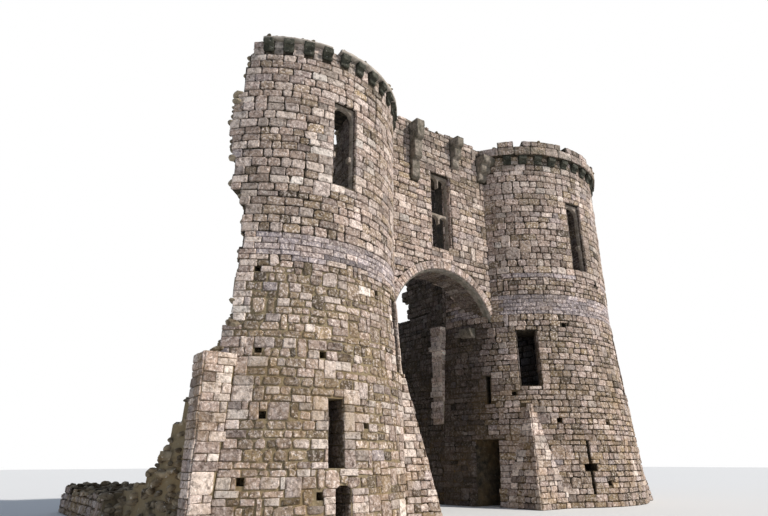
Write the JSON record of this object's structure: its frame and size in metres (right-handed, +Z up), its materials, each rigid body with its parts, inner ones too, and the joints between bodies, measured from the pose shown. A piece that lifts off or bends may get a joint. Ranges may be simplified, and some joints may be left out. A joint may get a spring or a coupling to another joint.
{
  "type": "ruined castle gatehouse",
  "caption": "Front of a ruined castle gatehouse: two round-fronted towers on spurred feet with a high round gate arch and a traceried window between them.",
  "frame": {"origin": "on the ground, in the middle of the rectangle that the building covers", "axes": "+Z up, +Y into the castle through the gate passage, +X to the right as seen from the approach"},
  "size_m": [22.59, 11.8937, 15.46],
  "materials": {
    "facing_stone": "rough coursed facing",
    "dressed_stone": "squared and weathered",
    "rubble_core": "rough core laid in mortar"
  },
  "bodies": {
    "root": {"left_ground_wall_outer": "rubble_core", "left_ground_wall_front": "facing_stone", "left_ground_wall_inner": "facing_stone", "left_first_wall_front": "facing_stone", "left_first_wall_inner": "facing_stone", "left_second_wall_front": "facing_stone", "left_second_wall_inner": "facing_stone", "left_spur_outer": "dressed_stone", "left_spur_inner": "dressed_stone", "left_corbel_course": "dressed_stone", "left_parapet": "dressed_stone", "left_upper_window": "dressed_stone", "left_first_floor": "rubble_core", "left_second_floor": "rubble_core", "left_rear_stump": "rubble_core", "left_outer_stump": "rubble_core", "left_gate_flank_lower": "facing_stone", "left_gate_flank_upper": "facing_stone", "right_ground_wall_inner": "facing_stone", "right_ground_wall_front": "facing_stone", "right_ground_wall_outer": "facing_stone", "right_first_wall_inner": "facing_stone", "right_first_wall_front": "facing_stone", "right_first_wall_outer": "facing_stone", "right_second_wall_inner": "facing_stone", "right_second_wall_front": "facing_stone", "right_second_wall_outer": "facing_stone", "right_spur_inner": "dressed_stone", "right_spur_outer": "dressed_stone", "right_corbel_course": "dressed_stone", "right_parapet": "dressed_stone", "right_upper_window": "dressed_stone", "right_first_floor": "rubble_core", "right_second_floor": "rubble_core", "right_rear_wall": "rubble_core", "right_gate_flank_lower": "facing_stone", "right_gate_flank_upper": "facing_stone", "right_outer_flank_lower": "facing_stone", "right_outer_flank_upper": "facing_stone", "gate_arch": "dressed_stone", "gate_wall_lower": "facing_stone", "gate_wall_left": "facing_stone", "gate_wall_right": "facing_stone", "gate_wall_head": "facing_stone", "gate_window_tracery": "dressed_stone", "gate_brackets": "dressed_stone", "gate_imposts": "dressed_stone", "gate_jambs": "dressed_stone"}
  },
  "joints": []
}
